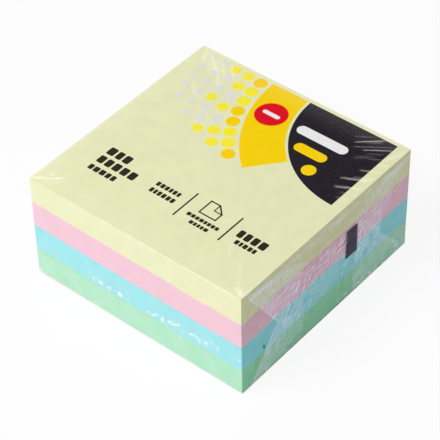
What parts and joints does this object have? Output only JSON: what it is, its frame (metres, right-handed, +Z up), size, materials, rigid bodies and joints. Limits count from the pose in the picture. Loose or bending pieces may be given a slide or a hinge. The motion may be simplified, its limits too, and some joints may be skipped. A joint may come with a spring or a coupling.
{
  "type": "sticky note pad",
  "caption": "Square block of pastel sticky note pads stacked in colours, sealed in a clear printed film with folded ends.",
  "frame": {"origin": "middle of the wrapped block's underside", "axes": "+Z up through the stack; +X along the label's lines of print, towards their right end; +Y towards the label's head, where the artwork is"},
  "size_m": [0.0764, 0.0761, 0.0366],
  "materials": {
    "note_yellow": "matte",
    "note_pink": "matte",
    "note_blue": "matte",
    "note_green": "matte",
    "liner_paper": "satin",
    "clear_film": "gloss",
    "ink_charcoal": "satin",
    "ink_text": "satin",
    "ink_amber": "satin",
    "ink_lemon": "satin",
    "ink_pale": "satin",
    "ink_red": "satin",
    "ink_white": "satin"
  },
  "bodies": {
    "root": {"yellow_notes": "note_yellow", "pink_notes": "note_pink", "blue_notes": "note_blue", "green_notes": "note_green", "backing_liner": "liner_paper", "film_wrap": "clear_film", "print_charcoal": "ink_charcoal", "eye_mark": "ink_charcoal", "print_text": "ink_text", "print_amber": "ink_amber", "print_lemon": "ink_lemon", "print_pale": "ink_pale", "print_red": "ink_red", "print_white": "ink_white"}
  },
  "joints": []
}
